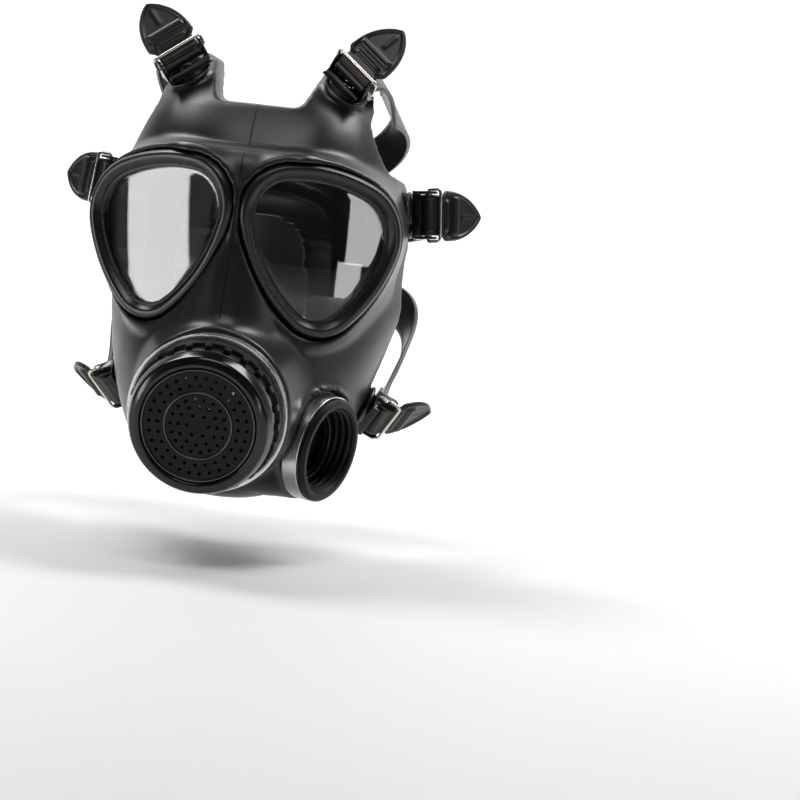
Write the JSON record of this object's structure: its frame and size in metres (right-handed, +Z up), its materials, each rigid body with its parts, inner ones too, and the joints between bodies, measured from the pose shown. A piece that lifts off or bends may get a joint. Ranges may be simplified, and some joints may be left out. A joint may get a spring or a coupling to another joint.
{
  "type": "full face respirator",
  "caption": "Full face respirator with two eyepieces, a speech and outlet unit, a threaded side filter connector and an adjustable rubber head harness.",
  "frame": {"origin": "on the middle plane at eyepiece height, in the plane of the temple tabs, where the wearer's head holds the mask", "axes": "+X to the wearer's left, +Y to the back of the head, +Z up"},
  "size_m": [0.2124, 0.2701, 0.2324],
  "materials": {
    "face_rubber": "satin moulded rubber",
    "rim_rubber": "smooth satin rubber",
    "strap_rubber": "moulded rubber strap",
    "cup_silicone": "soft matt rubber",
    "valve_rubber": "thin smooth rubber",
    "clear_lens": "clear polished",
    "bright_band": "brushed stainless",
    "wire_steel": "nickel plated wire",
    "rivet_steel": "polished",
    "black_gloss": "glossy moulded plastic",
    "black_matte": "fine matt moulded plastic",
    "seat_plastic": "pale moulded plastic",
    "foil": "thin film"
  },
  "bodies": {
    "root": {"facepiece": "face_rubber", "lens_left": "clear_lens", "lens_rim_left": "rim_rubber", "lens_right": "clear_lens", "lens_rim_right": "rim_rubber", "front_clamp_band": "bright_band", "speech_housing": "black_matte", "cover_seal": "valve_rubber", "outlet_cover": "black_gloss", "outlet_grille": "black_matte", "speech_diaphragm": "foil", "diaphragm_ring": "bright_band", "exhale_seat": "seat_plastic", "filter_connector": "black_matte", "connector_band": "bright_band", "connector_gasket": "strap_rubber", "inhale_seat": "seat_plastic", "nose_cup": "cup_silicone", "cup_valve_seat_left": "seat_plastic", "cup_valve_seat_right": "seat_plastic", "anchor_button_top_left": "strap_rubber", "buckle_frame_top_left": "black_gloss", "strap_top_left": "strap_rubber", "anchor_button_temple_left": "strap_rubber", "buckle_frame_temple_left": "black_gloss", "strap_temple_left": "strap_rubber", "anchor_button_lower_left": "strap_rubber", "buckle_frame_lower_left": "black_gloss", "strap_lower_left": "strap_rubber", "anchor_button_top_right": "strap_rubber", "buckle_frame_top_right": "black_gloss", "strap_top_right": "strap_rubber", "anchor_button_temple_right": "strap_rubber", "buckle_frame_temple_right": "black_gloss", "strap_temple_right": "strap_rubber", "anchor_button_lower_right": "strap_rubber", "buckle_frame_lower_right": "black_gloss", "strap_lower_right": "strap_rubber", "buckle_rivets": "rivet_steel", "head_pad": "strap_rubber"},
    "lock_ring_body": {"lock_ring": "black_matte"},
    "exhale_flap_body": {"exhale_flap": "valve_rubber"},
    "inhale_flap_body": {"inhale_flap": "valve_rubber"},
    "cup_flap_left_body": {"cup_valve_flap_left": "valve_rubber"},
    "cup_flap_right_body": {"cup_valve_flap_right": "valve_rubber"},
    "keeper_top_left_body": {"keeper_wire_top_left": "wire_steel"},
    "tail_top_left_body": {"strap_tail_top_left": "strap_rubber"},
    "keeper_top_right_body": {"keeper_wire_top_right": "wire_steel"},
    "tail_top_right_body": {"strap_tail_top_right": "strap_rubber"},
    "keeper_temple_left_body": {"keeper_wire_temple_left": "wire_steel"},
    "tail_temple_left_body": {"strap_tail_temple_left": "strap_rubber"},
    "keeper_temple_right_body": {"keeper_wire_temple_right": "wire_steel"},
    "tail_temple_right_body": {"strap_tail_temple_right": "strap_rubber"},
    "keeper_lower_left_body": {"keeper_wire_lower_left": "wire_steel"},
    "tail_lower_left_body": {"strap_tail_lower_left": "strap_rubber"},
    "keeper_lower_right_body": {"keeper_wire_lower_right": "wire_steel"},
    "tail_lower_right_body": {"strap_tail_lower_right": "strap_rubber"}
  },
  "joints": [
    {"name": "lock_ring_turn", "type": "hinge", "parent": "root", "child": "lock_ring_body", "pos_m": [0, -0.105, -0.078], "axis": [0, -0.9848, -0.1736], "range_deg": [0, 30]},
    {"name": "exhale_flap_lift", "type": "slide", "parent": "root", "child": "exhale_flap_body", "axis": [0, -0.9848, -0.1736], "range_m": [0, 0.0016], "stiffness_N_per_m": 40},
    {"name": "inhale_flap_lift", "type": "slide", "parent": "root", "child": "inhale_flap_body", "axis": [-0.9136, 0.3878, 0.1219], "range_m": [0, 0.0014], "stiffness_N_per_m": 40},
    {"name": "cup_flap_left_lift", "type": "slide", "parent": "root", "child": "cup_flap_left_body", "axis": [-0.9324, 0.3008, -0.2005], "range_m": [0, 0.0012], "stiffness_N_per_m": 40},
    {"name": "cup_flap_right_lift", "type": "slide", "parent": "root", "child": "cup_flap_right_body", "axis": [0.9324, 0.3008, -0.2005], "range_m": [0, 0.0012], "stiffness_N_per_m": 40},
    {"name": "keeper_top_left_turn", "type": "hinge", "parent": "root", "child": "keeper_top_left_body", "pos_m": [0.04227, -0.03808, 0.08404], "axis": [0.7561, -0.2634, -0.5991], "range_deg": [0, 70]},
    {"name": "tail_top_left_pull", "type": "slide", "parent": "root", "child": "tail_top_left_body", "axis": [0.6545, 0.3001, 0.694], "range_m": [0, 0.012]},
    {"name": "keeper_top_right_turn", "type": "hinge", "parent": "root", "child": "keeper_top_right_body", "pos_m": [-0.04227, -0.03808, 0.08404], "axis": [0.7561, 0.2634, 0.5991], "range_deg": [0, 70]},
    {"name": "tail_top_right_pull", "type": "slide", "parent": "root", "child": "tail_top_right_body", "axis": [-0.6545, 0.3001, 0.694], "range_m": [0, 0.012]},
    {"name": "keeper_temple_left_turn", "type": "hinge", "parent": "root", "child": "keeper_temple_left_body", "pos_m": [0.08145, 0.00179, 0.02081], "axis": [0.1028, -0.0568, -0.9931], "range_deg": [0, 70]},
    {"name": "tail_temple_left_pull", "type": "slide", "parent": "root", "child": "tail_temple_left_body", "axis": [0.6742, 0.738, 0.0276], "range_m": [0, 0.012]},
    {"name": "keeper_temple_right_turn", "type": "hinge", "parent": "root", "child": "keeper_temple_right_body", "pos_m": [-0.08145, 0.00179, 0.02081], "axis": [0.1028, 0.0568, 0.9931], "range_deg": [0, 70]},
    {"name": "tail_temple_right_pull", "type": "slide", "parent": "root", "child": "tail_temple_right_body", "axis": [-0.6742, 0.738, 0.0276], "range_m": [0, 0.012]},
    {"name": "keeper_lower_left_turn", "type": "hinge", "parent": "root", "child": "keeper_lower_left_body", "pos_m": [0.06801, 0.00073, -0.08123], "axis": [-0.4359, 0.5924, -0.6776], "range_deg": [0, 70]},
    {"name": "tail_lower_left_pull", "type": "slide", "parent": "root", "child": "tail_lower_left_body", "axis": [0.6674, 0.7178, 0.1983], "range_m": [0, 0.012]},
    {"name": "keeper_lower_right_turn", "type": "hinge", "parent": "root", "child": "keeper_lower_right_body", "pos_m": [-0.06801, 0.00073, -0.08123], "axis": [-0.4359, -0.5924, 0.6776], "range_deg": [0, 70]},
    {"name": "tail_lower_right_pull", "type": "slide", "parent": "root", "child": "tail_lower_right_body", "axis": [-0.6674, 0.7178, 0.1983], "range_m": [0, 0.012]}
  ]
}
